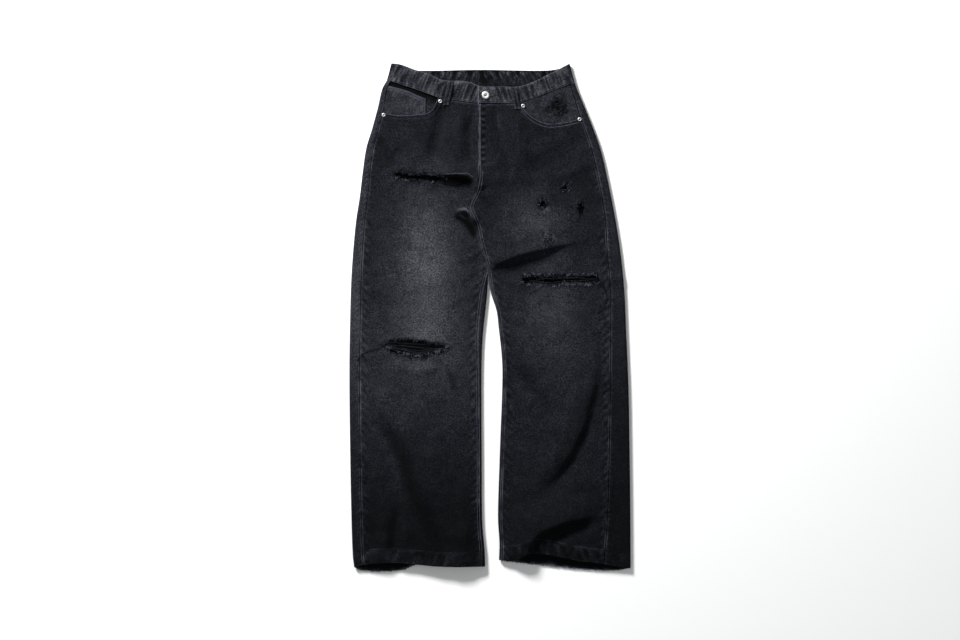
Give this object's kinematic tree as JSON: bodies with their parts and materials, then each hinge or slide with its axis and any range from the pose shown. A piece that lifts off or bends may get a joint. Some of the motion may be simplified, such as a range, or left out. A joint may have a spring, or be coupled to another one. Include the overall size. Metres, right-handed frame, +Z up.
{
  "type": "ripped wide-leg jeans",
  "caption": "Washed black wide-leg jeans laid flat with the front up: button and zip fly, scooped pockets, worn-through slits at thigh and knee, hems open.",
  "frame": {"origin": "On the floor, under the middle of the whole garment's outline.", "axes": "+Y from the hems to the waistband, +X to the wearer's left, +Z up out of the garment's front."},
  "size_m": [0.58, 1.0452, 0.0266],
  "materials": {
    "denim": "washed black cotton twill denim, faded at the thighs and knees, worn pale along seams and edges",
    "worn_denim": "the same denim worn to grey, and its frayed cotton threads",
    "zip_tape": "woven black zip tape",
    "metal": "worn bright nickel"
  },
  "bodies": {
    "root": {"front_right": "denim", "front_left": "denim", "back_right": "denim", "back_left": "denim", "yoke_right": "denim", "yoke_left": "denim", "waistband_right": "denim", "waistband_left": "denim", "pocket_facing_right": "worn_denim", "pocket_facing_left": "worn_denim", "coin_pocket": "worn_denim", "zip": "zip_tape", "fly_shield": "denim", "belt_loop_front_right": "denim", "belt_loop_front_left": "denim", "belt_loop_back_right": "denim", "belt_loop_back_centre": "denim", "belt_loop_back_left": "denim", "back_pocket_right": "denim", "back_pocket_left": "denim", "button": "metal", "rivet_right_side": "metal", "rivet_right_loop": "metal", "rivet_left_loop": "metal", "rivet_left_side": "metal"}
  },
  "joints": []
}
